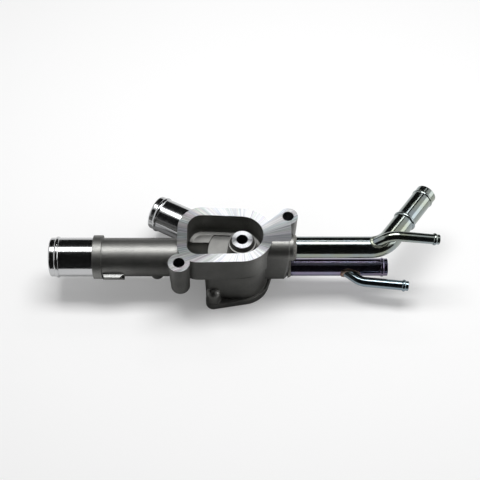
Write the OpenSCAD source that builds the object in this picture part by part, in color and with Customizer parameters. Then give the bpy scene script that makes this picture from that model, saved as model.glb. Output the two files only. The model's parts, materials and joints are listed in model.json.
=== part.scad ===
// Engine coolant housing: one aluminium casting with a milled engine face, two hose necks,
// a round chamber below for the wax valve, and two pressed-in steel pipes with brazed branches.
// Millimetres, +Z up. The origin is on the valve axis, in the plane of the cover face.

/* [Engine face] */
// Height of the milled engine face above the cover face
face_z = 64; // [62:0.5:68]
// Width of the milled ring round the upper chamber
ring_w = 8; // [7:0.25:9]
// Depth of the upper body below the engine face
upper_h = 26; // [25:0.5:27]

/* [Upper chamber] */
// Radius of the round end of the chamber
chamber_r = 18.6; // [18:0.1:19.5]
// Distance of that round end behind the valve axis
chamber_y = 4.8; // [4:0.2:5.5]
// Distance from the valve axis to the chamber's straight left wall
chamber_left = 45.4; // [44:0.2:47]
// Inner corner radius at the far left
far_corner_r = 12.5; // [11:0.5:13.5]
// Inner corner radius at the near left
near_corner_r = 9.5; // [8:0.5:10.5]
// Depth of the left floor below the engine face
floor_drop = 23; // [22:0.25:23.5]
// Radius of the lowered round floor over the valve chamber
disc_r = 28; // [27:0.25:29]
// Depth of that lowered floor below the left floor
disc_drop = 1.2; // [0.6:0.1:1.6]
// Radius of the hollow where the floor meets the walls
floor_r = 4; // [2:0.5:5]

/* [Engine bolts] */
// Diameter of the three bolt holes
bolt_d = 9.5; // [8.5:0.1:10]
// Left ear bolt, left of the valve axis
left_ear_x = 51.3; // [50:0.1:52.5]
// Left ear bolt, in front of the valve axis
left_ear_y = 23; // [22:0.1:24]
// Radius of the left ear
left_ear_r = 8.9; // [8:0.1:9.5]
// Length of the left bolt post
left_post_h = 37; // [32:0.5:40]
// Right ear bolt, right of the valve axis
right_ear_x = 38.2; // [37:0.1:39]
// Right ear bolt, behind the valve axis
right_ear_y = 23.5; // [22.5:0.1:24.5]
// Radius of the right ear
right_ear_r = 8.2; // [7.5:0.1:8.6]
// Length of the right bolt post
right_post_h = 28; // [26:0.5:34]
// Loss of radius of the bolt posts over their length
post_draft = 1; // [0.4:0.1:1.4]
// Radius at the foot of the bolt posts
post_foot_r = 3; // [2:0.25:3.5]
// Thickness of the web between the ring and the right ear
web_t = 14; // [8:0.5:20]

/* [Centre boss] */
// Radius of the milled top of the centre boss
boss_top_r = 8.6; // [8:0.1:9.2]
// Depth of the step round the boss
boss_step = 4.4; // [3.5:0.1:5.5]
// Radius of the step
boss_step_r = 11.4; // [11:0.1:12]
// Radius of the boss at the floor
boss_foot_r = 13; // [12.4:0.1:13.6]

/* [Valve chamber] */
// Radius of the valve chamber
valve_r = 18; // [17:0.25:18.5]
// Height of the valve chamber
valve_h = 36; // [34:0.5:37]
// Radius of the seat for the valve's rim
seat_r = 20.5; // [19.5:0.1:20.8]
// Depth of that seat
seat_h = 2.4; // [1.6:0.1:3]
// Outer radius of the chamber wall at the cover lip
valve_wall_r = 21.2; // [21:0.1:22]
// Gain of that radius up to the engine body
wall_draft = 0.8; // [0.4:0.1:1.2]
// Radius of the cover lip
lip_r = 23.4; // [23:0.1:24.5]
// Height of the cover lip
lip_h = 7; // [5:0.5:9]
// Distance of each cover bolt from the valve axis
cover_bolt_pcd_r = 32.5; // [31.5:0.1:33.5]
// Angle of the cover bolts, from the right towards the back
cover_bolt_a = 41.5; // [39:0.5:44]
// Radius of the cover bolt bosses
cover_boss_r = 6.2; // [5.8:0.1:6.8]
// Height of the cover bolt bosses up to their domes
cover_boss_h = 15.5; // [14:0.5:18]
// Core diameter of the tapped cover bolt holes
cover_tap_d = 5; // [4.2:0.1:5.5]
// Depth of the tapped holes
cover_tap_h = 15; // [10:0.5:16]

/* [Radiator neck] */
// Depth of the neck's axis below the engine face
neck_drop = 25.8; // [25:0.1:26.5]
// Outer radius of the cast neck
neck_r = 16.2; // [15.8:0.1:16.8]
// Bore radius of the neck
neck_bore_r = 13.2; // [12.6:0.1:13.5]
// Distance from the valve axis to the shoulder
neck_shoulder_x = 116.5; // [110:0.5:125]
// Radius of the shoulder
neck_shoulder_r = 18.4; // [17.6:0.1:19]
// Length of the shoulder
neck_shoulder_l = 7.5; // [5:0.5:9]
// Radius of the turned spigot
spigot_r = 16.4; // [15.8:0.1:16.8]
// Length of the turned spigot
spigot_l = 36.5; // [32:0.5:42]

/* [Pump neck] */
// Height of the neck's axis above the cover face
pump_z = 26.5; // [25.5:0.25:27]
// Angle of the neck, from the left towards the back
pump_a = 28.5; // [26:0.5:31]
// Distance at which its axis passes the valve axis
pump_miss = 13; // [12:0.25:14]
// Distance along the neck to its tip
pump_tip = 93; // [88:0.5:98]
// Radius of the cast root
pump_root_r = 15.6; // [15.2:0.1:16]
// Length of the turned spigot
pump_spigot_l = 33; // [28:0.5:36]
// Radius of the turned spigot
pump_r = 14.8; // [14.4:0.1:15.2]
// Bore radius of the neck
pump_bore_r = 11.4; // [10.8:0.1:11.6]

/* [Hose beads] */
// Height of the beads on the necks
neck_bead_h = 0.9; // [0.5:0.1:1.4]
// Distance from a neck's tip to its bead
neck_bead_at = 6.5; // [5.5:0.25:8]
// Radius of the rounded tips of the necks
neck_nose_r = 1.6; // [1:0.1:2]

/* [Pipe block] */
// End of the upper socket, right of the valve axis
block_end = 42.3; // [41:0.1:44]
// Distance by which the lower socket is shorter
block_step = 3.7; // [3:0.1:4.5]
// Outer radius of the upper socket
upper_boss_r = 11.6; // [11.5:0.05:12]
// Outer radius of the lower socket
lower_boss_r = 10; // [9.5:0.1:10.5]
// Depth of both sockets
socket_l = 14; // [11:0.5:15]
// Clearance of a pipe in its socket, and of brazed or sealed joints
fit_gap = 0.05; // [0.03:0.01:0.1]

/* [Heater pipe] */
// Depth of the pipe's axis below the engine face
heater_drop = 11.4; // [11.4:0.05:12]
// Outer radius of the pipe
heater_r = 9; // [8.6:0.1:9.2]
// Wall of the pipe
heater_wall = 1; // [0.8:0.1:1.4]
// Start of the bend, right of the valve axis
heater_bend_x = 106; // [104:0.5:112]
// Radius of the bend
heater_bend_r = 22; // [20:0.5:26]
// Angle of the bend, towards the back
heater_bend_a = 54; // [48:1:58]
// Straight length after the bend
heater_end_l = 58; // [52:0.5:64]
// Distance from the tip to the end bead
heater_bead_at = 7; // [6:0.25:9]
// Distance from the tip to the hose stop
heater_stop_at = 36; // [32:0.5:38]
// Height of the hose stop
heater_stop_h = 1.1; // [0.7:0.1:1.4]
// Height of the end bead
heater_bead_h = 0.6; // [0.4:0.1:1]

/* [Return pipe] */
// Depth of the pipe's axis below the heater pipe's axis
return_drop = 29.6; // [29:0.1:30.5]
// Outer radius of the pipe
return_r = 7.5; // [7.2:0.1:7.8]
// Wall of the pipe
return_wall = 1; // [0.8:0.1:1.3]
// Tip of the pipe, right of the valve axis
return_tip = 123.2; // [120:0.2:130]
// Distance from the tip to the bead
return_bead_at = 4.6; // [4:0.1:6]
// Height of the bead
return_bead_h = 0.7; // [0.4:0.1:1]

/* [Branch pipes] */
// Outer radius of both branches
branch_r = 4.2; // [4:0.05:4.4]
// Wall of both branches
branch_wall = 0.9; // [0.7:0.05:1.1]
// Bend radius of both branches
branch_bend_r = 14; // [12:0.5:16]
// Height of the bead at a branch's tip
branch_bead_h = 0.9; // [0.6:0.05:1.1]
// Distance from a branch's tip to its bead
branch_bead_at = 4; // [3.5:0.1:5]
// Where the heater branch's axis leaves the pipe's axis
heater_branch_x = 103; // [101:0.5:104.5]
// Angle at which the heater branch rises
heater_branch_a = 42; // [40:1:46]
// Slope of its tail below level
heater_branch_fall = 8; // [4:0.5:10]
// Straight length of the heater branch between its pipe and its bend
heater_branch_out = 0.3; // [0.2:0.1:3]
// Length of its tail
heater_branch_tail = 34; // [28:0.5:38]
// Where the return branch's axis leaves the pipe's axis
return_branch_x = 82.5; // [78:0.5:86]
// Angle at which the return branch leaves to the front
return_branch_a = 40; // [37:1:44]
// Angle at which its tail still runs outwards
return_branch_spread = 6.5; // [3:0.5:8]
// Straight length of the return branch between its pipe and its bend
return_branch_out = 1.8; // [0.2:0.1:3]
// Length of its tail
return_branch_tail = 36; // [30:0.5:40]
// Spread of the braze round a branch's root
braze_spread = 1.5; // [0.8:0.1:2]
// Height of the braze above the pipe
braze_h = 1; // [0.6:0.1:1.6]

/* [Sealant] */
// Spread of the sealant over the socket's end
sealant_spread = 1.7; // [1:0.1:1.9]
// Length of the sealant along the pipe
sealant_l = 2.6; // [1.5:0.1:4]

/* [Casting details] */
// Radius of the ejector pads under the neck
pad_r = 5.4; // [4.5:0.1:6]
// Depth of the pads below the neck
pad_drop = 3.8; // [2.5:0.1:5]
// Distance of the outer pad from the valve axis
outer_pad_x = 72; // [68:0.5:80]
// Distance of the inner pad from the valve axis
inner_pad_x = 40; // [38.5:0.25:43]
// Length of the flat tab beside the shoulder
tab_l = 18; // [12:0.5:22]
// Reach of the tab in front of the neck's axis
tab_reach = 16.2; // [15:0.1:17]
// Thickness of the tab
tab_t = 2; // [1.4:0.1:2.6]

/* [Hidden] */

// Segments of true curves, and of the curves inside hulls
$fn = 96;
hull_fn = 48;
// Overlap of cutters past the faces that they cut
over = 1;
// Thickness of the slabs that hulls are drawn through
slab = 0.1;
// Distance by which tangent lines run inside the arcs that they join
tuck = 0.02;

cast_colour = "#8f908c";
steel_colour = "#b9bfc2";
tinted_colour = "#8d8ca3";
braze_colour = "#a88a6a";
sealant_colour = "#d2d2c8";

neck_z = face_z - neck_drop;
heater_z = face_z - heater_drop;
return_z = heater_z - return_drop;
floor_z = face_z - floor_drop;
disc_z = floor_z - disc_drop;
upper_z = face_z - upper_h;
bolt_r = bolt_d / 2;

// Inner outline of the upper chamber as discs [x, y, r], anticlockwise from the round end.
// The left corners reach a little past the round end, to the back and to the front.
chamber_x = -1;
far_reach = 1.5;
near_reach = 0.8;
far_y = chamber_y + chamber_r + far_reach - far_corner_r;
near_y = chamber_y - chamber_r - near_reach + near_corner_r;
chamber_discs = [
    [chamber_x, chamber_y, chamber_r],
    [far_corner_r - chamber_left, far_y, far_corner_r],
    [near_corner_r - chamber_left, near_y, near_corner_r]
];

left_ear = [-left_ear_x, -left_ear_y];
right_ear = [right_ear_x, right_ear_y];

// The web carries the right ear and covers the upper pipe socket. Its discs are [x, y, r].
web_edge_r = 3;
web_end_gap = 1.8;
web_front = 1.9;
web_neck = [3.6, 6];
web_neck_r = 5.9;
web_root = [17, 7, 8];
web_arm = [20, 9, 6];
web_corner = [block_end - web_end_gap - web_edge_r, web_edge_r - web_front, web_edge_r];
web_shoulder = [right_ear.x - web_neck.x, right_ear.y - web_neck.y, web_neck_r];

cover_bolts = [for (a = [cover_bolt_a, cover_bolt_a + 180]) cover_bolt_pcd_r * [cos(a), sin(a)]];
cover_front_bolt = cover_bolts[1];
// Corner of the chamber wall that runs up beside the front cover bolt
wall_corner_r = 5.8;
wall_corner_shift = [-0.5, 6.3];
wall_corner = cover_front_bolt + wall_corner_shift;
// Reach of the cover lip past its bolt bosses, and depth of the flat on their domes
lip_edge = 0.3;
dome_flat = 0.1;

pump_heading = 180 - pump_a;
pump_foot = pump_miss * [sin(pump_a), cos(pump_a)];
pump_shoulder = pump_tip - pump_spigot_l;

heater_seat = block_end - socket_l;
return_end = block_end - block_step;
return_seat = return_end - socket_l;
// Rounded lower edge of the pipe block, and inset of the upper socket's end
block_edge = 3;
socket_inset = 0.3;
heater_bore_r = heater_r - heater_wall;
return_bore_r = return_r - return_wall;
branch_bore_r = branch_r - branch_wall;
heater_branch_leg = branch_exit(heater_r, heater_branch_a) + heater_branch_out;
return_branch_leg = branch_exit(return_r, return_branch_a) + return_branch_out;
// Loss of radius where a pipe is bent, and overlap of its straights into the bend
draw_in = 0.02;
lap = 0.3;
pipe_bead_r = 1.8;
pipe_nose_r = 0.45;
// Distance of a branch's square end from the wall of its pipe's bore
end_inset = 0.4;
neck_bead_r = 2.2;
// Thickness of the sealant at its outer end
sealant_tip = 0.55;
// Share of its radius at which a quarter round is half way up
half_way = 1 - cos(45);

// Ends of the line that joins two discs, on the right of the way from a to b
function tangent_pair(a, b) =
    let (way = [b.x - a.x, b.y - a.y],
         along = way / norm(way),
         lean = (a.z - b.z) / norm(way),
         normal = along * lean + [along.y, -along.x] * sqrt(1 - lean * lean))
    [[a.x, a.y] + (a.z - tuck) * normal, [b.x, b.y] + (b.z - tuck) * normal];

function grown(discs, by) = [for (d = discs) [d.x, d.y, d.z + by]];

// Belt outline round discs that are listed anticlockwise
module belt(discs) {
    last = len(discs) - 1;
    polygon([for (i = [0 : last]) each tangent_pair(discs[i], discs[i < last ? i + 1 : 0])]);
    for (d = discs) translate([d.x, d.y]) circle(d.z);
}

// Turns the child's +Z to a level heading, measured from +X towards +Y
module heading(angle) {
    rotate([0, 0, angle]) rotate([0, 90, 0]) children();
}

module straight(r, from, to) {
    translate([0, 0, from]) cylinder(r = r, h = to - from);
}

// Half section of a spigot from one distance to its rounded tip, with beads [at, radius, height]
module spigot_section(r, from, tip, nose, beads) {
    translate([0, from]) square([r, tip - from - nose]);
    translate([0, from]) square([r - nose, tip - from]);
    translate([r - nose, tip - nose]) circle(nose);
    for (b = beads) translate([r + b.z - b.y, b.x]) circle(b.y);
}

// Round hub with lugs that tangent lines tie to it
module lugged(hub, lugs) {
    translate([hub.x, hub.y]) circle(hub.z);
    for (lug = lugs) {
        polygon([each tangent_pair(hub, lug), each tangent_pair(lug, hub)]);
        translate([lug.x, lug.y]) circle(lug.z);
    }
}

module web_outline() {
    belt([web_corner, web_shoulder, web_root]);
    belt([[right_ear.x, right_ear.y, right_ear_r - post_draft], web_arm]);
}

// Bolt post that hangs from the engine face, with a rounded foot
module bolt_post(r, h) {
    foot = r - post_draft;
    rotate_extrude() {
        polygon([[0, 0], [r, 0], [foot, post_foot_r - h], [foot - post_foot_r, -h], [0, -h]]);
        translate([foot - post_foot_r, post_foot_r - h]) circle(post_foot_r);
    }
}

module upper_body() {
    translate([0, 0, upper_z]) linear_extrude(upper_h) belt(grown(chamber_discs, ring_w));
    translate([0, 0, face_z - web_t]) linear_extrude(web_t) web_outline();
    translate([left_ear.x, left_ear.y, face_z]) bolt_post(left_ear_r, left_post_h);
    translate([right_ear.x, right_ear.y, face_z]) bolt_post(right_ear_r, right_post_h);
}

module wall_outline(gain) {
    circle(valve_wall_r + gain, $fn = hull_fn);
    translate(wall_corner) circle(wall_corner_r + gain, $fn = hull_fn);
}

// Cover bolt boss with a dome whose tip is slightly flat
module domed_boss() {
    cylinder(r = cover_boss_r, h = cover_boss_h);
    translate([0, 0, cover_boss_h]) difference() {
        sphere(cover_boss_r);
        translate([0, 0, cover_boss_r - dome_flat]) cylinder(r = cover_boss_r, h = over);
    }
}

module valve_body() {
    hull() {
        linear_extrude(slab) wall_outline(0);
        translate([0, 0, upper_z + over]) linear_extrude(slab) wall_outline(wall_draft);
    }
    linear_extrude(lip_h)
        lugged([0, 0, lip_r], [for (p = cover_bolts) [p.x, p.y, cover_boss_r + lip_edge]]);
    for (p = cover_bolts) translate([p.x, p.y, 0]) domed_boss();
}

module radiator_neck() {
    spigot_from = neck_shoulder_x + neck_shoulder_l;
    tip = spigot_from + spigot_l;
    translate([0, 0, neck_z]) heading(180) rotate_extrude() {
        translate([0, disc_r - over]) square([neck_r, neck_shoulder_x - disc_r + 2 * over]);
        translate([0, neck_shoulder_x]) square([neck_shoulder_r, neck_shoulder_l]);
        spigot_section(spigot_r, neck_shoulder_x, tip, neck_nose_r,
                       [[tip - neck_bead_at, neck_bead_r, neck_bead_h]]);
    }
    for (x = [outer_pad_x, inner_pad_x]) translate([-x, -pad_drop, neck_z - neck_r - pad_drop])
        cylinder(r = pad_r, h = neck_r + pad_drop);
    tab_z = neck_z - neck_r / 2 - tab_t;
    translate([-neck_shoulder_x, -tab_reach, tab_z]) cube([tab_l, tab_reach, tab_t]);
}

module pump_neck() {
    translate([pump_foot.x, pump_foot.y, pump_z]) heading(pump_heading) {
        sphere(pump_root_r);
        rotate_extrude() {
            square([pump_root_r, pump_shoulder]);
            spigot_section(pump_r, 0, pump_tip, neck_nose_r,
                           [[pump_tip - neck_bead_at, neck_bead_r, neck_bead_h]]);
        }
    }
}

module pipe_block() {
    hull() {
        translate([0, 0, heater_z]) heading(0) cylinder(r = upper_boss_r, h = return_end, $fn = hull_fn);
        translate([0, 0, return_z]) heading(0) {
            cylinder(r = lower_boss_r, h = return_end - block_edge, $fn = hull_fn);
            cylinder(r = lower_boss_r - block_edge, h = return_end, $fn = hull_fn);
        }
    }
    translate([0, 0, heater_z]) heading(0) cylinder(r = upper_boss_r - socket_inset, h = block_end);
}

// Hollow of the upper chamber: walls, floor hollow, lowered floor and the neck's trough
module upper_hollow() {
    translate([0, 0, floor_z]) hull() {
        linear_extrude(slab) belt(grown(chamber_discs, -floor_r), $fn = hull_fn);
        translate([0, 0, floor_r * half_way])
            linear_extrude(slab) belt(grown(chamber_discs, -floor_r * half_way), $fn = hull_fn);
        translate([0, 0, floor_r])
            linear_extrude(floor_drop - floor_r + over) belt(chamber_discs, $fn = hull_fn);
    }
    translate([0, 0, disc_z]) linear_extrude(disc_drop + over) intersection() {
        belt(grown(chamber_discs, -floor_r));
        translate([chamber_x, chamber_y]) circle(disc_r);
    }
    difference() {
        translate([0, 0, neck_z]) heading(180)
            cylinder(r = neck_bore_r, h = neck_shoulder_x + neck_shoulder_l + spigot_l + over);
        translate([chamber_x, chamber_y, 0]) cylinder(r = disc_r, h = face_z);
    }
}

// Centre bolt boss, which stands on the floor and is milled with the engine face
module centre_boss() {
    collar = 1;
    translate([0, 0, upper_z]) rotate_extrude() polygon([
        [0, 0],
        [boss_foot_r, 0],
        [boss_foot_r, disc_z - upper_z],
        [boss_step_r, upper_h - boss_step],
        [boss_step_r - collar, upper_h - boss_step],
        [boss_top_r, upper_h],
        [0, upper_h]
    ]);
}

module lower_hollow() {
    translate([0, 0, -over]) cylinder(r = valve_r, h = valve_h + over);
    translate([0, 0, -over]) cylinder(r = seat_r, h = seat_h + over);
    translate([pump_foot.x, pump_foot.y, pump_z]) heading(pump_heading) {
        sphere(pump_bore_r);
        cylinder(r = pump_bore_r, h = pump_tip + over);
    }
}

module sockets() {
    translate([0, 0, heater_z]) heading(0) {
        translate([0, 0, boss_foot_r]) cylinder(r = heater_bore_r, h = block_end - boss_foot_r);
        translate([0, 0, heater_seat]) cylinder(r = heater_r + fit_gap, h = socket_l + over);
    }
    translate([0, 0, return_z]) heading(0) {
        cylinder(r = return_bore_r, h = return_end);
        translate([0, 0, return_seat]) cylinder(r = return_r + fit_gap, h = socket_l + over);
    }
}

module bolt_holes() {
    for (p = [left_ear, right_ear, [0, 0]]) translate([p.x, p.y, 0])
        cylinder(r = bolt_r, h = face_z + over);
    for (p = cover_bolts) translate([p.x, p.y, -over])
        cylinder(d = cover_tap_d, h = cover_tap_h + over);
}

module milling_cut() {
    reach = 2 * neck_shoulder_x;
    translate([-reach, -reach, face_z]) cube([2 * reach, 2 * reach, upper_boss_r]);
}

module housing() {
    color(cast_colour) difference() {
        union() {
            difference() {
                union() {
                    upper_body();
                    valve_body();
                    radiator_neck();
                    pump_neck();
                    pipe_block();
                }
                upper_hollow();
            }
            centre_boss();
        }
        lower_hollow();
        sockets();
        bolt_holes();
        milling_cut();
    }
}

// Heater pipe from its seat, or from short of it, to the end of its bend
module heater_elbow(r, short) {
    translate([heater_seat - short, 0, heater_z]) heading(0)
        cylinder(r = r, h = heater_bend_x - heater_seat + short + lap);
    translate([heater_bend_x, heater_bend_r, heater_z]) rotate([0, 0, -90])
        rotate_extrude(angle = heater_bend_a) translate([heater_bend_r, 0]) circle(r - draw_in);
}

// Puts +Z along the straight end of the heater pipe, from the end of its bend
module heater_end_place() {
    bend_end = heater_bend_r * [sin(heater_bend_a), 1 - cos(heater_bend_a)];
    translate([heater_bend_x + bend_end.x, bend_end.y, heater_z]) heading(heater_bend_a) children();
}

module heater_pipe() {
    color(steel_colour) difference() {
        union() {
            heater_elbow(heater_r, 0);
            heater_end_place() rotate_extrude()
                spigot_section(heater_r, -lap, heater_end_l, pipe_nose_r, [
                    [heater_end_l - heater_bead_at, pipe_bead_r, heater_bead_h],
                    [heater_end_l - heater_stop_at, pipe_bead_r, heater_stop_h]
                ]);
        }
        heater_elbow(heater_bore_r, over);
        heater_end_place() straight(heater_bore_r, -lap, heater_end_l + over);
        heater_branch_place() branch_leg(branch_r + fit_gap, heater_branch_a, 0, heater_branch_leg);
    }
}

module return_rod(r, short) {
    translate([return_seat - short, 0, return_z]) heading(0)
        cylinder(r = r, h = return_tip - return_seat + 2 * short);
}

module return_pipe() {
    color(tinted_colour) difference() {
        translate([0, 0, return_z]) heading(0) rotate_extrude()
            spigot_section(return_r, return_seat, return_tip, pipe_nose_r,
                           [[return_tip - return_bead_at, pipe_bead_r, return_bead_h]]);
        return_rod(return_bore_r, over);
        return_branch_place() branch_leg(branch_r + fit_gap, return_branch_a, 0, return_branch_leg);
    }
}

// A branch starts on its pipe's axis, along local +X, and leaves towards local +Y.
module heater_branch_place() {
    translate([heater_branch_x, 0, heater_z]) rotate([90, 0, 0]) children();
}

module return_branch_place() {
    translate([return_branch_x, 0, return_z]) rotate([180, 0, 0]) children();
}

module branch_leg(r, leave, from, leg) {
    heading(leave) straight(r, from, leg + lap);
}

// Distance along the leg at which a branch's square end just lies inside its pipe's bore
function branch_start(bore, leave) = (bore - end_inset - branch_r * cos(leave)) / sin(leave);

// Distance along the leg at which a branch is clear of its pipe all round
function branch_exit(pipe_r, leave) = (pipe_r + branch_r * cos(leave)) / sin(leave);

function branch_centre(leave, leg) =
    leg * [cos(leave), sin(leave)] + branch_bend_r * [sin(leave), -cos(leave)];

// Puts +X from the centre of a branch's bend to where its tail starts
module branch_turn_place(leave, turn, leg) {
    translate(branch_centre(leave, leg)) rotate([0, 0, leave + 90 - turn]) children();
}

module branch_bend(r, leave, turn, leg) {
    branch_turn_place(leave, turn, leg)
        rotate_extrude(angle = turn) translate([branch_bend_r, 0]) circle(r - draw_in);
}

module branch_tail_place(leave, turn, leg) {
    branch_turn_place(leave, turn, leg) translate([branch_bend_r, 0, 0]) heading(-90) children();
}

module branch_pipe(start, leave, turn, leg, tail) {
    difference() {
        union() {
            branch_leg(branch_r, leave, start, leg);
            branch_bend(branch_r, leave, turn, leg);
            branch_tail_place(leave, turn, leg) rotate_extrude()
                spigot_section(branch_r, -lap, tail, pipe_nose_r,
                               [[tail - branch_bead_at, pipe_bead_r, branch_bead_h]]);
        }
        branch_leg(branch_bore_r, leave, start - over, leg);
        branch_bend(branch_bore_r, leave, turn, leg);
        branch_tail_place(leave, turn, leg) straight(branch_bore_r, -lap, tail + over);
    }
}

// Sleeve of braze round a branch's root, before it is cut to its pipe
module braze_sleeve(leave, leg) {
    heading(leave) difference() {
        cylinder(r = branch_r + braze_spread, h = leg);
        cylinder(r = branch_r + fit_gap, h = leg + over);
    }
}

module heater_branch() {
    start = branch_start(heater_bore_r, heater_branch_a);
    turn = heater_branch_a + heater_branch_fall;
    color(steel_colour) heater_branch_place()
        branch_pipe(start, heater_branch_a, turn, heater_branch_leg, heater_branch_tail);
}

module heater_braze() {
    color(braze_colour) difference() {
        intersection() {
            heater_branch_place() braze_sleeve(heater_branch_a, heater_branch_leg);
            heater_elbow(heater_r + braze_h, 0);
        }
        heater_elbow(heater_r + fit_gap, 0);
    }
}

module return_branch() {
    start = branch_start(return_bore_r, return_branch_a);
    turn = return_branch_a - return_branch_spread;
    color(steel_colour) return_branch_place()
        branch_pipe(start, return_branch_a, turn, return_branch_leg, return_branch_tail);
}

module return_braze() {
    color(braze_colour) difference() {
        intersection() {
            return_branch_place() braze_sleeve(return_branch_a, return_branch_leg);
            return_rod(return_r + braze_h, 0);
        }
        return_rod(return_r + fit_gap, 0);
    }
}

// Ring of sealant that is drawn up a pipe from its socket
module sealant_ring(pipe_r) {
    difference() {
        cylinder(r1 = pipe_r + sealant_spread, r2 = pipe_r + sealant_tip, h = sealant_l);
        translate([0, 0, -over]) cylinder(r = pipe_r + fit_gap, h = sealant_l + 2 * over);
    }
}

module heater_sealant() {
    color(sealant_colour) translate([block_end, 0, heater_z]) heading(0) sealant_ring(heater_r);
}

module return_sealant() {
    color(sealant_colour) translate([return_end, 0, return_z]) heading(0) sealant_ring(return_r);
}

housing();
heater_pipe();
heater_branch();
heater_braze();
heater_sealant();
return_pipe();
return_branch();
return_braze();
return_sealant();
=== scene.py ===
"""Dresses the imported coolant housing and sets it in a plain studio.

The casting and the steel tubes are nodes of the frame, and this file gives them their finishes. The beads of
braze and sealant are pieces of their own: each takes the place of a plain ring of the frame and has an
uneven skin. The tab in front of the radiator neck is a piece that is added to the casting. Lengths are in
millimetres and angles in degrees, unless a docstring or a comment says otherwise.
"""

import json
import logging
import math
from abc import ABC, abstractmethod
from dataclasses import dataclass, field, replace
from enum import Enum
from typing import Any

import bmesh
import bpy
from mathutils import Matrix, Vector


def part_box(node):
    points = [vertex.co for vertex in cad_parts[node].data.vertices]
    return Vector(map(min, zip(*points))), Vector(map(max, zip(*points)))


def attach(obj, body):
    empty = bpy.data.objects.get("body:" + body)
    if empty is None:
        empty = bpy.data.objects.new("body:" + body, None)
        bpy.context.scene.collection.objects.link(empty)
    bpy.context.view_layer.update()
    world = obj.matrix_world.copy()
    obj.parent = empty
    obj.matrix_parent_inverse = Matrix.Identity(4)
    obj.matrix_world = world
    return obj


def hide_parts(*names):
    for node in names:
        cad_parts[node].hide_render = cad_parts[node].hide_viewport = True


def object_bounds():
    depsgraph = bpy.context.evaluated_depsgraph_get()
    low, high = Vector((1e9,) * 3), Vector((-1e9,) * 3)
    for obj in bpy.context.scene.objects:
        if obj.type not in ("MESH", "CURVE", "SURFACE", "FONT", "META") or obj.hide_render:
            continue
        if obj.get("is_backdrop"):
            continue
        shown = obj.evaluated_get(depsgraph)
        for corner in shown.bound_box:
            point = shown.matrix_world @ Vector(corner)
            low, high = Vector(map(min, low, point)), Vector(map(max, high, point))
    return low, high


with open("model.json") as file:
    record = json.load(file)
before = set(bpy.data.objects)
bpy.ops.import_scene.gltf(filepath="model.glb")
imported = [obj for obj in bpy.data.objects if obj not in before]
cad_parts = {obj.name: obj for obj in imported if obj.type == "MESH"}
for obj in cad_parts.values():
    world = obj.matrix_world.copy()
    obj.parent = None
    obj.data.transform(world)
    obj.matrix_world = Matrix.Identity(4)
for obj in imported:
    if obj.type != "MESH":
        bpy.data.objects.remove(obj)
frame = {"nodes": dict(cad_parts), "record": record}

Tree = bpy.types.NodeTree
Node = bpy.types.Node
Socket = bpy.types.NodeSocket

LOG = logging.getLogger("coolant_housing")
# One millimetre, in metres.
MM = 0.001
# Nothing on the part moves, so every piece rides on its one body.
BODY = "root"
WHITE = "#ffffff"
RIGHT_ANGLE = 90.0
# Most of a noise lies between these values.
NOISE_LOW = 0.3
NOISE_HIGH = 0.7
# Numbers of the Mix node's sockets when it mixes colours.
MIX_SHARE = 0
MIX_FIRST = 6
MIX_SECOND = 7
MIX_RESULT = 2
# A vector times this keeps only its level share.
LEVEL_SHARE = (1.0, 1.0, 0.0)
# Rows of a matrix that can move as well as turn.
MATRIX_ROWS = 4


def linear(code: str) -> tuple[float, float, float, float]:
    """Turns an sRGB hex colour into linear red, green, blue and alpha.

    Args:
        code: six hex digits after a hash.

    Returns:
        The linear colour with full alpha.
    """
    shares = [int(code[start:start + 2], 16) / 255 for start in (1, 3, 5)]
    # The numbers are those of the sRGB curve, which is straight near black.
    red, green, blue = (s / 12.92 if s <= 0.04045 else ((s + 0.055) / 1.055) ** 2.4 for s in shares)
    return red, green, blue, 1.0


def per_size(size: float) -> float:
    """Gives the texture scale, per metre, of a pattern whose marks have a real size in millimetres."""
    return 1 / (size * MM)


def put(tree: Tree, kind: str, inputs: dict[str | int, Any], **settings: Any) -> Node:
    """Adds a node, with its settings and its inputs set or linked.

    Args:
        tree: node tree that takes the node.
        kind: Blender's name of the node type.
        inputs: value or output socket for each input, by its name or number.
        settings: properties of the node.

    Returns:
        The new node.
    """
    node = tree.nodes.new(kind)
    for name, value in settings.items():
        setattr(node, name, value)
    for key, value in inputs.items():
        if isinstance(value, Socket):
            tree.links.new(value, node.inputs[key])
        else:
            node.inputs[key].default_value = value
    return node


def shown(tree: Tree, unseen: float, seen: float) -> Socket:
    """Gives one level to rays that show a surface and another to rays that only light others.

    Args:
        tree: node tree of the floor or the world.
        unseen: level for diffuse rays.
        seen: level for camera, glossy and transmission rays.

    Returns:
        Socket with the level.
    """
    path = put(tree, "ShaderNodeLightPath", {})
    direct = put(tree, "ShaderNodeMath",
                 {0: path.outputs["Is Camera Ray"], 1: path.outputs["Is Glossy Ray"]}, operation="MAXIMUM")
    every = put(tree, "ShaderNodeMath",
                {0: direct.outputs[0], 1: path.outputs["Is Transmission Ray"]}, operation="MAXIMUM")
    limits = {"Value": every.outputs[0], "To Min": unseen, "To Max": seen}
    return put(tree, "ShaderNodeMapRange", limits).outputs["Result"]


def add_object(name: str, data: Any) -> bpy.types.Object:
    """Adds an object to the scene.

    Args:
        name: name of the object.
        data: its mesh, lamp or camera.

    Returns:
        The new object.
    """
    made = bpy.data.objects.new(name, data)
    bpy.context.scene.collection.objects.link(made)
    return made


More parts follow.
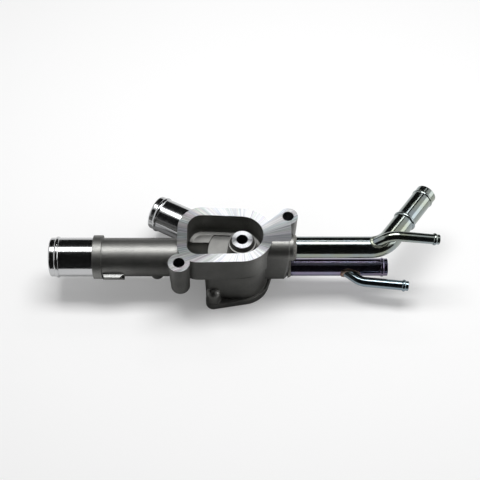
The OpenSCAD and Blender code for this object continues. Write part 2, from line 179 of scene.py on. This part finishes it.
@dataclass(frozen=True)
class Finish:
    """A surface: the name of its material and process, its colour and how it shines."""

    name: str
    colour: str
    roughness: float
    metallic: float = 1.0
    anisotropy: float = 0.0

    def material(self) -> bpy.types.Material:
        """Makes the material.

        Returns:
            A material with one Principled shader, which pattern() has dressed.
        """
        made = bpy.data.materials.new(self.name)
        made.use_nodes = True
        tree = made.node_tree
        shader = tree.nodes["Principled BSDF"]
        shader.inputs["Base Color"].default_value = linear(self.colour)
        shader.inputs["Roughness"].default_value = self.roughness
        shader.inputs["Metallic"].default_value = self.metallic
        shader.inputs["Anisotropic"].default_value = self.anisotropy
        place = put(tree, "ShaderNodeTexCoord", {}).outputs["Object"]
        self.pattern(tree, shader, place)
        return made

    def pattern(self, tree: Tree, shader: Node, place: Socket) -> None:
        """Adds what varies over the surface; a plain finish adds nothing.

        Args:
            tree: node tree of the material.
            shader: its Principled shader.
            place: place on the part, in metres.
        """

    def mottle(self, tree: Tree, shader: Node, noise: Socket, first: str, second: str) -> Socket:
        """Runs one colour into another as a noise rises.

        Args:
            tree: node tree of the material.
            shader: its Principled shader, which takes the colour.
            noise: noise from 0 to 1.
            first: hex colour where the noise is low.
            second: hex colour where it is high.

        Returns:
            Socket with the colour.
        """
        share = put(tree, "ShaderNodeMapRange",
                    {"Value": noise, "From Min": NOISE_LOW, "From Max": NOISE_HIGH})
        mix = put(tree, "ShaderNodeMix",
                  {MIX_SHARE: share.outputs["Result"], MIX_FIRST: linear(first), MIX_SECOND: linear(second)},
                  data_type="RGBA")
        tree.links.new(mix.outputs[MIX_RESULT], shader.inputs["Base Color"])
        return mix.outputs[MIX_RESULT]

    def vary_shine(self, tree: Tree, shader: Node, noise: Socket, change: float) -> None:
        """Varies the roughness with a noise.

        Args:
            tree: node tree of the material.
            shader: its Principled shader, which takes the roughness.
            noise: noise from 0 to 1.
            change: largest change, up or down, as a share of the roughness.
        """
        rough = put(tree, "ShaderNodeMapRange",
                    {"Value": noise, "From Min": NOISE_LOW, "From Max": NOISE_HIGH,
                     "To Min": self.roughness * (1 - change), "To Max": self.roughness * (1 + change)})
        tree.links.new(rough.outputs["Result"], shader.inputs["Roughness"])


@dataclass(frozen=True)
class Cast(Finish):
    """Die-cast and blasted aluminium: dull, with a fine grit and broad cloudy patches."""

    grit: float = 1.1
    grit_detail: float = 3.0
    grit_depth: float = 0.06
    grit_shine: float = 0.13
    patch: float = 16.0
    patch_detail: float = 4.0
    patch_roughness: float = 0.6
    patch_colour: str = "#878784"
    edge: float = 0.9
    edge_samples: int = 6

    def pattern(self, tree: Tree, shader: Node, place: Socket) -> None:
        """Adds the grit as relief, and the patches as a change of colour and shine.

        Args:
            tree: node tree of the material.
            shader: its Principled shader.
            place: place on the part, in metres.
        """
        # Blast grit is about 0.3 mm, too fine to show at the photo's size, so it is drawn coarser.
        grit = put(tree, "ShaderNodeTexNoise",
                   {"Vector": place, "Scale": per_size(self.grit), "Detail": self.grit_detail})
        patch = put(tree, "ShaderNodeTexNoise",
                    {"Vector": place, "Scale": per_size(self.patch), "Detail": self.patch_detail,
                     "Roughness": self.patch_roughness})
        self.mottle(tree, shader, patch.outputs["Fac"], self.colour, self.patch_colour)
        self.vary_shine(tree, shader, grit.outputs["Fac"], self.grit_shine)
        # Blasting rounds each cast edge by under a millimetre, which shows only as a soft line of light.
        edge = put(tree, "ShaderNodeBevel", {"Radius": self.edge * MM}, samples=self.edge_samples)
        relief = put(tree, "ShaderNodeBump",
                     {"Height": grit.outputs["Fac"], "Distance": self.grit_depth * MM,
                      "Normal": edge.outputs["Normal"]})
        tree.links.new(relief.outputs["Normal"], shader.inputs["Normal"])


@dataclass(frozen=True)
class Milled(Finish):
    """Aluminium milled in rings about the valve axis: the cutter's marks as relief, with painted radial
    glints and faint painted rainbow reflections in its colour.
    """

    # Width of a glint, painted and in relief, and the radius at which it is that wide.
    mark_and_painted_glint: float = 0.6
    glint_radius: float = 30.0
    glint_detail: float = 2.0
    glint_depth: float = 0.05
    # Painted shade: the colour between the painted glints.
    painted_glint_shade_colour: str = "#92959a"
    # Share of the painted rainbow reflection in the colour.
    painted_rainbow_share: float = 0.16
    # Glints that one patch of painted rainbow tint spans.
    painted_rainbow_widths: float = 3.0
    painted_rainbow_detail: float = 1.0

    def pattern(self, tree: Tree, shader: Node, place: Socket) -> None:
        """Adds the cutter's marks as relief, paints radial glints and rainbow tints into the colour as
        painted highlights and reflections, and spreads the shine across the rings of the cutter.

        Args:
            tree: node tree of the material.
            shader: its Principled shader.
            place: place on the part, in metres.
        """
        parts = put(tree, "ShaderNodeSeparateXYZ", {0: place})
        angle = put(tree, "ShaderNodeMath", {0: parts.outputs["Y"], 1: parts.outputs["X"]},
                    operation="ARCTAN2")
        # On a level face this grows with the radius, in metres, so the noise changes little along a glint.
        reach = put(tree, "ShaderNodeVectorMath", {0: place}, operation="LENGTH")
        polar = put(tree, "ShaderNodeCombineXYZ",
                    {"X": angle.outputs[0], "Y": reach.outputs["Value"]})
        # The cutter's marks are finer than a pixel; each glint drawn, in relief and as a painted highlight,
        # stands for a bundle of them.
        per_radian = self.glint_radius / self.mark_and_painted_glint
        mark_and_painted_glint = put(tree, "ShaderNodeTexNoise",
                    {"Vector": polar.outputs[0], "Scale": per_radian, "Detail": self.glint_detail})
        # Painted highlight: bright glints painted into the colour, with painted shade between them.
        grey = self.mottle(tree, shader, mark_and_painted_glint.outputs["Fac"], self.painted_glint_shade_colour, self.colour)
        # Painted reflection: rainbow tints, as the rings would split the light, laid over the painted
        # glints.
        tint = put(tree, "ShaderNodeTexNoise",
                   {"Vector": polar.outputs[0], "Scale": per_radian / self.painted_rainbow_widths,
                    "Detail": self.painted_rainbow_detail})
        painted_glints_and_rainbow = put(tree, "ShaderNodeMix",
                  {MIX_SHARE: self.painted_rainbow_share, MIX_FIRST: grey, MIX_SECOND: tint.outputs["Color"]},
                  data_type="RGBA", blend_type="OVERLAY")
        relief = put(tree, "ShaderNodeBump",
                     {"Height": mark_and_painted_glint.outputs["Fac"], "Distance": self.glint_depth * MM})
        outward = put(tree, "ShaderNodeVectorMath", {0: place, 1: LEVEL_SHARE}, operation="MULTIPLY")
        tree.links.new(painted_glints_and_rainbow.outputs[MIX_RESULT], shader.inputs["Base Color"])
        tree.links.new(relief.outputs["Normal"], shader.inputs["Normal"])
        tree.links.new(outward.outputs["Vector"], shader.inputs["Tangent"])


@dataclass(frozen=True)
class Turned(Finish):
    """Aluminium cut round an axis by a lathe tool or a drill: fine lines ring the axis."""

    axis: tuple[float, float, float] = (1.0, 0.0, 0.0)
    pitch: float = 1.3
    line_detail: float = 2.0
    depth: float = 0.012
    line_shine: float = 0.3

    def pattern(self, tree: Tree, shader: Node, place: Socket) -> None:
        """Adds the lines of the tool, as relief and as a change of shine.

        Args:
            tree: node tree of the material.
            shader: its Principled shader.
            place: place on the part, in metres.
        """
        along = put(tree, "ShaderNodeVectorMath", {0: place, 1: self.axis}, operation="DOT_PRODUCT")
        # The feed of the tool is about 0.2 mm, too fine to show, so the lines are drawn coarser.
        lines = put(tree, "ShaderNodeTexNoise",
                    {"W": along.outputs["Value"], "Scale": per_size(self.pitch), "Detail": self.line_detail},
                    noise_dimensions="1D")
        self.vary_shine(tree, shader, lines.outputs["Fac"], self.line_shine)
        relief = put(tree, "ShaderNodeBump", {"Height": lines.outputs["Fac"], "Distance": self.depth * MM})
        tree.links.new(relief.outputs["Normal"], shader.inputs["Normal"])


@dataclass(frozen=True)
class Tapped(Finish):
    """Aluminium cut by a tap: the turns of the thread ring the hole."""

    pitch: float = 1.0
    depth: float = 0.3

    def pattern(self, tree: Tree, shader: Node, place: Socket) -> None:
        """Adds the turns, drawn as level rings because a turn rises by so little.

        Args:
            tree: node tree of the material.
            shader: its Principled shader.
            place: place on the part, in metres.
        """
        parts = put(tree, "ShaderNodeSeparateXYZ", {0: place})
        phase = put(tree, "ShaderNodeMath", {0: parts.outputs["Z"], 1: math.tau * per_size(self.pitch)},
                    operation="MULTIPLY")
        turns = put(tree, "ShaderNodeMath", {0: phase.outputs[0]}, operation="SINE")
        relief = put(tree, "ShaderNodeBump", {"Height": turns.outputs[0], "Distance": self.depth * MM})
        tree.links.new(relief.outputs["Normal"], shader.inputs["Normal"])


@dataclass(frozen=True)
class Plated(Finish):
    """Zinc-plated steel tube: bright, with a faint wave in the plate and a tint that drifts."""

    tint: str = "#909586"
    drift: float = 14.0
    drift_detail: float = 3.0
    wave: float = 3.0
    wave_detail: float = 3.0
    wave_depth: float = 0.02
    wave_shine: float = 0.3

    def pattern(self, tree: Tree, shader: Node, place: Socket) -> None:
        """Adds the drifting tint, uneven shine and the wave of the plate.

        Args:
            tree: node tree of the material.
            shader: its Principled shader.
            place: place on the part, in metres.
        """
        drift = put(tree, "ShaderNodeTexNoise",
                    {"Vector": place, "Scale": per_size(self.drift), "Detail": self.drift_detail})
        wave = put(tree, "ShaderNodeTexNoise",
                   {"Vector": place, "Scale": per_size(self.wave), "Detail": self.wave_detail})
        self.mottle(tree, shader, drift.outputs["Fac"], self.colour, self.tint)
        self.vary_shine(tree, shader, wave.outputs["Fac"], self.wave_shine)
        relief = put(tree, "ShaderNodeBump",
                     {"Height": wave.outputs["Fac"], "Distance": self.wave_depth * MM})
        tree.links.new(relief.outputs["Normal"], shader.inputs["Normal"])


@dataclass(frozen=True)
class Blotched(Finish):
    """A dull, uneven surface in two colours that run into each other."""

    second: str = "#808080"
    blotch: float = 2.5
    blotch_detail: float = 3.0

    def pattern(self, tree: Tree, shader: Node, place: Socket) -> None:
        """Adds the blotches.

        Args:
            tree: node tree of the material.
            shader: its Principled shader.
            place: place on the part, in metres.
        """
        blotch = put(tree, "ShaderNodeTexNoise",
                     {"Vector": place, "Scale": per_size(self.blotch), "Detail": self.blotch_detail})
        self.mottle(tree, shader, blotch.outputs["Fac"], self.colour, self.second)


@dataclass(frozen=True)
class Paper(Finish):
    """Matt paper that the camera and shiny metal see a little paler than it lights them."""

    own_light: float = 0.17

    def pattern(self, tree: Tree, shader: Node, place: Socket) -> None:
        """Takes the gloss away and adds the light of its own.

        Args:
            tree: node tree of the material.
            shader: its Principled shader.
            place: place on the floor, which plain paper doesn't need.
        """
        shader.inputs["Specular IOR Level"].default_value = 0.0
        shader.inputs["Emission Color"].default_value = linear(WHITE)
        tree.links.new(shown(tree, 0.0, self.own_light), shader.inputs["Emission Strength"])


# Die-cast aluminium, blasted: a dark, dull grey skin with soft, broad highlights.
CAST = Cast("aluminium_die_cast_blasted", "#7a7a78", 0.46)
# Milled aluminium: the brightest surface, with painted glints, painted highlights that run out from the
# cutter's centre.
MILLED = Milled("aluminium_face_milled", "#dddfe0", 0.4, anisotropy=1.0)
# Turned aluminium: sharp light and dark bands along each neck.
TURNED = Turned("aluminium_lathe_turned", "#bcbdbe", 0.12)
# Drilled aluminium: grey metal, dulled by the drill, which leaves faint rings down the hole.
DRILLED = Turned("aluminium_drilled", "#707171", 0.45, axis=(0.0, 0.0, 1.0), depth=0.03)
# Tapped aluminium: the same metal, ringed by the turns of the thread.
TAPPED = Tapped("aluminium_tapped", "#8d8e8e", 0.35)
# Aluminium of the tab's top: paler and brighter than the cast skin round it, in two blotched tones.
PALE_TOP = Blotched("aluminium_pale_top", "#cbccca", 0.5, second="#b0b1af", blotch=1.5)
# Zinc-plated steel, clear passivated: hard bands of light, a little green and yellow.
CLEAR_ZINC = Plated("steel_zinc_plated_clear", "#8c969b", 0.13)
# Zinc-plated steel, passivated longer: the same bands, softer and tinted violet and blue.
BLUE_ZINC = Plated("steel_zinc_plated_blue", "#7d7e94", 0.18, tint="#7f7488")
# Zinc-plated steel, thinly passivated: bands of a cold, pale blue.
PALE_ZINC = Plated("steel_zinc_plated_pale", "#86929a", 0.14, tint="#7d8c92")
# Silver braze, plated over: a dull, uneven, green-grey collar.
SILVER_BRAZE = Blotched("silver_braze_plated", "#7d8177", 0.42, second="#a3a89a")
# Copper braze: a brown collar that shows through the plate.
COPPER_BRAZE = Blotched("copper_furnace_braze", "#7e6257", 0.38, second="#9d958a")
# Set sealant: grey and matt, in lighter and darker smears.
SEALANT = Blotched("sealant_cured", "#82817c", 0.6, metallic=0.0, second="#565552")
# Matt white paper: an even, pale ground that keeps a soft shadow.
PAPER = Paper("paper_white_matt", "#e2e2e2", 1.0, metallic=0.0)
# Painted card: even and matt, seen only as the dark in shiny metal.
CARD = Finish("card_painted_matt", "#0c0c0c", 0.9, metallic=0.0)


class Region(Enum):
    """Part of the casting that one process has finished, by the number of its material slot."""

    CAST = 0
    MILLED = 1
    RADIATOR_NECK = 2
    PUMP_NECK = 3
    DRILLED = 4
    TAPPED = 5


@dataclass(frozen=True)
class Round:
    """A round place of the record, in metres: its centre, axis, radius and length along the axis."""

    centre: Vector
    axis: Vector
    radius: float
    length: float

    def along(self, point: Vector) -> float:
        """Gives how far a point is along the axis."""
        return (point - self.centre).dot(self.axis)

    def off_axis(self, point: Vector) -> float:
        """Gives how far a point is from the axis."""
        return (point - self.centre - self.axis * self.along(point)).length


def mount(name: str) -> dict[str, Any]:
    """Finds a mount of the record by its name."""
    return next(each for each in frame["record"]["mounts"] if each["name"] == name)


def round_mount(name: str) -> Round:
    """Reads a mount that is one round place.

    Args:
        name: name of the mount.

    Returns:
        Its place and size.
    """
    found = mount(name)
    sizes = found["dims"]
    return Round(Vector(found["pos_m"]), Vector(found["axis"]), sizes["r_mm"] * MM, sizes["length_mm"] * MM)


def bolt_pair(name: str, angle: float, depth: float) -> list[Round]:
    """Reads a mount that is a pattern of two bolts.

    Args:
        name: name of the mount.
        angle: direction from the pattern's centre to the first bolt, from +X.
        depth: depth of the deeper hole.

    Returns:
        The two holes.
    """
    found = mount(name)
    sizes = found["dims"]
    turn = math.radians(angle)
    arm = Vector((math.cos(turn), math.sin(turn), 0)) * sizes["pcd_mm"] / 2 * MM
    middle = Vector(found["pos_m"])
    return [Round(middle + arm * side, Vector(found["axis"]), sizes["hole_r_mm"] * MM, depth * MM)
            for side in (1, -1)]


class Assembly(ABC):
    """A piece, or some pieces that belong together."""

    @abstractmethod
    def build(self) -> list[bpy.types.Object]:
        """Builds and dresses the pieces.

        Returns:
            The pieces, in order.
        """


@dataclass
class Casting(Assembly):
    """The cast housing, whose faces are sorted by the process that finished them."""

    node: str = "housing"
    # Directions, from +X, from the middle of each pair of bolts to the one at the back right.
    ear_angle: float = 27.45
    cover_angle: float = 41.5
    ear_depth: float = 37.5
    cover_depth: float = 15.0
    # A face belongs to a process if it lies this close to where that process cut.
    flat_gap: float = 0.02
    hole_gap: float = 0.15
    tip_gap: float = 0.3
    # A neck is turned from this far inside its hose radius, its bore, to this far outside it, its bead.
    wall: float = 3.4
    rim: float = 2.3
    # The upright share of a face's normal is above the first on a level face, below the other in a hole.
    level_share: float = 0.999
    hole_share: float = 0.5
    # Read from the frame, in metres.
    levels: tuple[float, float] = field(init=False)
    necks: dict[Region, Round] = field(init=False)
    holes: dict[Region, list[Round]] = field(init=False)

    def __post_init__(self) -> None:
        """Reads the milled levels, the necks and the bolt holes from the frame, in metres."""
        low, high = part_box(self.node)
        self.levels = (low.z, high.z)
        self.necks = {Region.RADIATOR_NECK: round_mount("radiator_hose"),
                      Region.PUMP_NECK: round_mount("pump_hose")}
        ears = bolt_pair("ear_bolts", self.ear_angle, self.ear_depth)
        self.holes = {Region.DRILLED: [round_mount("centre_bolt"), *ears],
                      Region.TAPPED: bolt_pair("cover_bolts", self.cover_angle, self.cover_depth)}

    def region(self, centre: Vector, normal: Vector) -> Region:
        """Tells which process has made a face.

        Args:
            centre: middle of the face.
            normal: its normal.

        Returns:
            The region that the face belongs to.
        """
        level = abs(normal.z) > self.level_share
        if level and min(abs(centre.z - height) for height in self.levels) < self.flat_gap * MM:
            return Region.MILLED
        for region, neck in self.necks.items():
            back = -neck.along(centre)
            off = neck.off_axis(centre) - neck.radius
            on_length = -self.tip_gap * MM < back < neck.length + self.tip_gap * MM
            if on_length and -self.wall * MM < off < self.rim * MM:
                return region
        for region, holes in self.holes.items():
            for hole in holes:
                on_wall = abs(hole.off_axis(centre) - hole.radius) < self.hole_gap * MM
                if on_wall and abs(hole.along(centre)) < hole.length and abs(normal.z) < self.hole_share:
                    return region
        return Region.CAST

    def finishes(self) -> dict[Region, Finish]:
        """Gives each region its finish.

        Returns:
            The finishes, with each neck's lathe lines about its own axis.
        """
        found = {Region.CAST: CAST, Region.MILLED: MILLED, Region.DRILLED: DRILLED, Region.TAPPED: TAPPED}
        for region, neck in self.necks.items():
            name = f"{TURNED.name}_{region.name.lower()}"
            found[region] = replace(TURNED, name=name, axis=tuple(neck.axis))
        return found

    def build(self) -> list[bpy.types.Object]:
        """Gives each face of the casting its finish.

        Returns:
            The casting.
        """
        casting = frame["nodes"][self.node]
        mesh = casting.data
        finishes = self.finishes()
        mesh.materials.clear()
        for region in Region:
            mesh.materials.append(finishes[region].material())
        for face in mesh.polygons:
            face.material_index = self.region(face.center, face.normal).value
        return [casting]


@dataclass
class NeckTab(Assembly):
    """The flat tab in front of the radiator neck, level with its axis and next to its shoulder."""

    name: str = "neck_tab"
    # The mount has its place at the neck's tip, and its axis points out of the neck.
    neck: str = "radiator_hose"
    # Along the neck, from its tip to the tab, and along the tab.
    start: float = 44.0
    length: float = 18.0
    # From the neck's axis to the tab's root inside the wall, to the neck's skin and to its outer edge.
    root: float = 14.0
    skin: float = 16.4
    reach: float = 19.8
    # How far the outer edge is shorter than the root at each end.
    near_slant: float = 1.8
    far_slant: float = 3.2
    thickness: float = 1.7
    # From the neck's axis down to the tab's top.
    drop: float = 1.0
    soften: float = 0.3
    soften_steps: int = 2

    def outline(self) -> list[tuple[float, float]]:
        """Gives the tab's outline, seen from above.

        Returns:
            Each corner's place back along the neck, and out from the neck's axis.
        """
        first = self.start
        last = self.start + self.length
        return [(first, self.root), (last, self.root), (last, self.skin),
                (last - self.far_slant, self.reach), (first + self.near_slant, self.reach),
                (first, self.skin)]

    def mesh(self) -> bpy.types.Mesh:
        """Makes the tab's mesh, cast all round and paler on top.

        Returns:
            The mesh, with its finishes.
        """
        neck = round_mount(self.neck)
        shape = bmesh.new()
        corners = [shape.verts.new(neck.centre - neck.axis * back * MM - Vector((0, out, self.drop)) * MM)
                   for back, out in self.outline()]
        top = shape.faces.new(corners)
        sides = bmesh.ops.extrude_face_region(shape, geom=[top])["geom"]
        bmesh.ops.translate(shape, vec=(0, 0, -self.thickness * MM),
                            verts=[each for each in sides if isinstance(each, bmesh.types.BMVert)])
        bmesh.ops.recalc_face_normals(shape, faces=shape.faces)
        finishes = (CAST, PALE_TOP)
        highest = max(face.calc_center_median().z for face in shape.faces)
        for face in shape.faces:
            on_top = face.calc_center_median().z == highest
            face.material_index = finishes.index(PALE_TOP if on_top else CAST)
        mesh = bpy.data.meshes.new(self.name)
        shape.to_mesh(mesh)
        shape.free()
        for finish in finishes:
            mesh.materials.append(finish.material())
        return mesh

    def build(self) -> list[bpy.types.Object]:
        """Builds the tab with softened edges.

        Returns:
            The tab, which rides with the casting.
        """
        tab = add_object(self.name, self.mesh())
        edge = tab.modifiers.new("edge", "BEVEL")
        edge.width = self.soften * MM
        edge.segments = self.soften_steps
        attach(tab, BODY)
        return [tab]


@dataclass
class Bead(Assembly):
    """A bead of braze or sealant, uneven as it set, in place of a plain ring of the frame."""

    node: str
    slot: str
    finish: Finish
    # Cell of the bead's skin, and how often the skin is smoothed.
    grain: float = 0.3
    melt_steps: int = 4
    # Width and height of its lumps.
    lump: float = 2.2
    lump_height: float = 0.35

    def build(self) -> list[bpy.types.Object]:
        """Builds the bead over its ring.

        Returns:
            The bead, which stands for the ring.
        """
        bead = add_object(f"{self.node}_bead", frame["nodes"][self.node].data.copy())
        bead.data.materials.clear()
        bead.data.materials.append(self.finish.material())
        clouds = bpy.data.textures.new(f"{self.node}_lumps", "CLOUDS")
        clouds.noise_scale = self.lump * MM
        skin = bead.modifiers.new("skin", "REMESH")
        skin.mode = "VOXEL"
        skin.voxel_size = self.grain * MM
        skin.use_smooth_shade = True
        melt = bead.modifiers.new("melt", "SMOOTH")
        melt.iterations = self.melt_steps
        lumps = bead.modifiers.new("lumps", "DISPLACE")
        lumps.texture = clouds
        lumps.texture_coords = "LOCAL"
        lumps.strength = self.lump_height * MM
        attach(bead, BODY)
        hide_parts(self.node)
        return [bead]


@dataclass
class PipeLine(Assembly):
    """A steel pipe and its branch, with the braze at the branch and the sealant at the casting."""

    name: str
    pipe: Finish
    branch: Finish
    braze: Finish
    braze_slot: str

    def build(self) -> list[bpy.types.Object]:
        """Gives the tubes their plate and builds the beads.

        Returns:
            The pipe, its branch, the braze and the sealant.
        """
        pieces = []
        for node, finish in ((f"{self.name}_pipe", self.pipe), (f"{self.name}_branch", self.branch)):
            tube = frame["nodes"][node]
            tube.data.materials.clear()
            tube.data.materials.append(finish.material())
            pieces.append(tube)
        pieces += Bead(f"{self.name}_braze", self.braze_slot, self.braze).build()
        pieces += Bead(f"{self.name}_sealant", "sealant", SEALANT).build()
        return pieces


@dataclass
class Card(ABC):
    """A card of the studio, which only shiny metal sees."""

    name: str
    colour: str

    @abstractmethod
    def rows(self, middle: Vector) -> list[tuple[Vector, Vector]]:
        """Gives the two ends of each level line of the card.

        Args:
            middle: middle of the part.

        Returns:
            Left and right end of each line, in order.
        """

    def build(self, middle: Vector) -> bpy.types.Object:
        """Builds the card.

        Args:
            middle: middle of the part.

        Returns:
            The card, marked as part of the stage.
        """
        shape = bmesh.new()
        lines = [[shape.verts.new(end) for end in ends] for ends in self.rows(middle)]
        for near, far in zip(lines, lines[1:]):
            shape.faces.new((near[0], near[1], far[1], far[0]))
        mesh = bpy.data.meshes.new(self.name)
        shape.to_mesh(mesh)
        shape.free()
        mesh.materials.append(replace(CARD, colour=self.colour).material())
        card = add_object(self.name, mesh)
        card.visible_camera = False
        card.visible_diffuse = False
        card.visible_shadow = False
        card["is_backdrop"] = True
        return card


@dataclass
class CurvedCard(Card):
    """A card that curves about a level line through the part."""

    # Leans of its first and last edge, from straight above towards the camera.
    start: float
    end: float
    radius: float = 1300.0
    half_width: float = 1500.0
    steps: int = 24

    def rows(self, middle: Vector) -> list[tuple[Vector, Vector]]:
        """Gives the two ends of each level line of the card.

        Args:
            middle: middle of the part.

        Returns:
            Left and right end of each line, from the first edge to the last.
        """
        side = Vector((self.half_width * MM, 0, 0))
        ends = []
        for step in range(self.steps + 1):
            lean = math.radians(self.start + (self.end - self.start) * step / self.steps)
            point = middle + Vector((0, -math.sin(lean), math.cos(lean))) * self.radius * MM
            ends.append((point - side, point + side))
        return ends


@dataclass
class FlatCard(Card):
    """Painted shade: a card that lies just over the floor, before the casting and short of its bright tubes,
    and darkens the floor that shiny metal sees there, as the casting's shadow would.
    """

    front: float
    back: float
    left: float
    right: float
    height: float = 0.5

    def rows(self, middle: Vector) -> list[tuple[Vector, Vector]]:
        """Gives the two ends of its front edge and its back edge.

        Args:
            middle: middle of the part, which a card with a place of its own doesn't need.

        Returns:
            Left and right end of each edge.
        """
        return [(Vector((self.left, place, self.height)) * MM, Vector((self.right, place, self.height)) * MM)
                for place in (self.front, self.back)]


@dataclass
class Floor:
    """The pale floor that the part stands on."""

    half_size: float = 4000.0

    def build(self) -> bpy.types.Object:
        """Builds the floor.

        Returns:
            The floor, marked as part of the stage.
        """
        reach = self.half_size * MM
        mesh = bpy.data.meshes.new("floor")
        corners = [(-reach, -reach, 0.0), (reach, -reach, 0.0), (reach, reach, 0.0), (-reach, reach, 0.0)]
        mesh.from_pydata(corners, [], [range(len(corners))])
        mesh.materials.append(PAPER.material())
        floor = add_object("floor", mesh)
        floor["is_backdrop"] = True
        return floor


@dataclass
class Softbox:
    """A soft lamp that faces the part, with its power in watts."""

    name: str
    # From straight above towards the camera, so that a lamp behind the part has a lean below zero.
    lean: float
    # About +Z, after the lean.
    turn: float
    distance: float
    width: float
    depth: float
    power: float

    def build(self, middle: Vector) -> None:
        """Hangs the lamp.

        Args:
            middle: point that the lamp faces.
        """
        lamp = bpy.data.lights.new(self.name, "AREA")
        lamp.shape = "RECTANGLE"
        lamp.size = self.width * MM
        lamp.size_y = self.depth * MM
        lamp.energy = self.power
        lean = Matrix.Rotation(math.radians(self.lean), MATRIX_ROWS, "X")
        turn = Matrix.Rotation(math.radians(self.turn), MATRIX_ROWS, "Z")
        box = add_object(self.name, lamp)
        box.matrix_world = (Matrix.Translation(middle) @ turn @ lean
                            @ Matrix.Translation((0, 0, self.distance * MM)))
        box.visible_camera = False


@dataclass
class Studio:
    """The stage, the light and the camera at the photo's angle."""

    # Point that the camera looks at, and the camera's height angle and distance from it.
    target: tuple[float, float, float] = (-1.8, -0.6, 64.0)
    elevation: float = 55.0
    distance: float = 900.0
    # Focal length and width of the photo, in its pixels.
    focal_pixels: float = 1098.0
    frame_pixels: float = 480.0
    sensor: float = 36.0
    # Strength of the world as a light, and as a backdrop.
    fill_level: float = 0.3
    backdrop_level: float = 0.85
    cards: list[Card] = field(default_factory=lambda: [
        CurvedCard("card_front", "#0c0c0c", 4.0, 85.0),
        CurvedCard("card_low", "#0c0c0c", 60.0, 102.0, radius=175.0, half_width=500.0),
        CurvedCard("card_back", "#1c1c1c", -28.0, -88.0),
        # Painted shade: a grey sheet, seen only in reflections, that darkens the floor by the casting.
        FlatCard("card_floor_painted_shade", "#909090", front=-200.0, back=60.0, left=-104.0, right=44.0),
    ])
    lamps: list[Softbox] = field(default_factory=lambda: [
        Softbox("softbox_top", -11.0, 0.0, 900.0, 780.0, 300.0, 7.2),
        Softbox("softbox_right", -72.0, -90.0, 900.0, 700.0, 400.0, 1.3),
        Softbox("softbox_strip", -39.0, -19.0, 900.0, 250.0, 70.0, 0.24),
    ])

    def build(self) -> None:
        """Sets the floor, the cards, the lamps, the world and the camera."""
        low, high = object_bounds()
        middle = (low + high) / 2
        Floor().build()
        for card in self.cards:
            card.build(middle)
        for lamp in self.lamps:
            lamp.build(middle)
        self.light_world()
        self.aim()
        bpy.context.scene.view_settings.view_transform = "Standard"

    def light_world(self) -> None:
        """Fills the studio with an even pale light."""
        world = bpy.data.worlds.new("studio")
        world.use_nodes = True
        back = world.node_tree.nodes["Background"]
        back.inputs["Color"].default_value = linear(WHITE)
        level = shown(world.node_tree, self.fill_level, self.backdrop_level)
        world.node_tree.links.new(level, back.inputs["Strength"])
        bpy.context.scene.world = world

    def aim(self) -> None:
        """Puts the camera at the photo's angle."""
        lens = bpy.data.cameras.new("camera")
        lens.sensor_width = self.sensor
        lens.lens = self.sensor * self.focal_pixels / self.frame_pixels
        camera = add_object("camera", lens)
        lean = Matrix.Rotation(math.radians(RIGHT_ANGLE - self.elevation), MATRIX_ROWS, "X")
        camera.matrix_world = (Matrix.Translation(Vector(self.target) * MM) @ lean
                               @ Matrix.Translation((0, 0, self.distance * MM)))
        bpy.context.scene.camera = camera


def main() -> None:
    """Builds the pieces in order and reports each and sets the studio."""
    logging.basicConfig(level=logging.INFO, format="%(message)s")
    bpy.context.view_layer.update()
    assemblies = [
        Casting(),
        NeckTab(),
        PipeLine("heater", CLEAR_ZINC, CLEAR_ZINC, SILVER_BRAZE, "dull_braze"),
        PipeLine("return", BLUE_ZINC, PALE_ZINC, COPPER_BRAZE, "copper_braze"),
    ]
    for assembly in assemblies:
        for piece in assembly.build():
            LOG.info("%s: %s", piece.name, ", ".join(material.name for material in piece.data.materials))
    Studio().build()


if __name__ == "__main__":
    main()
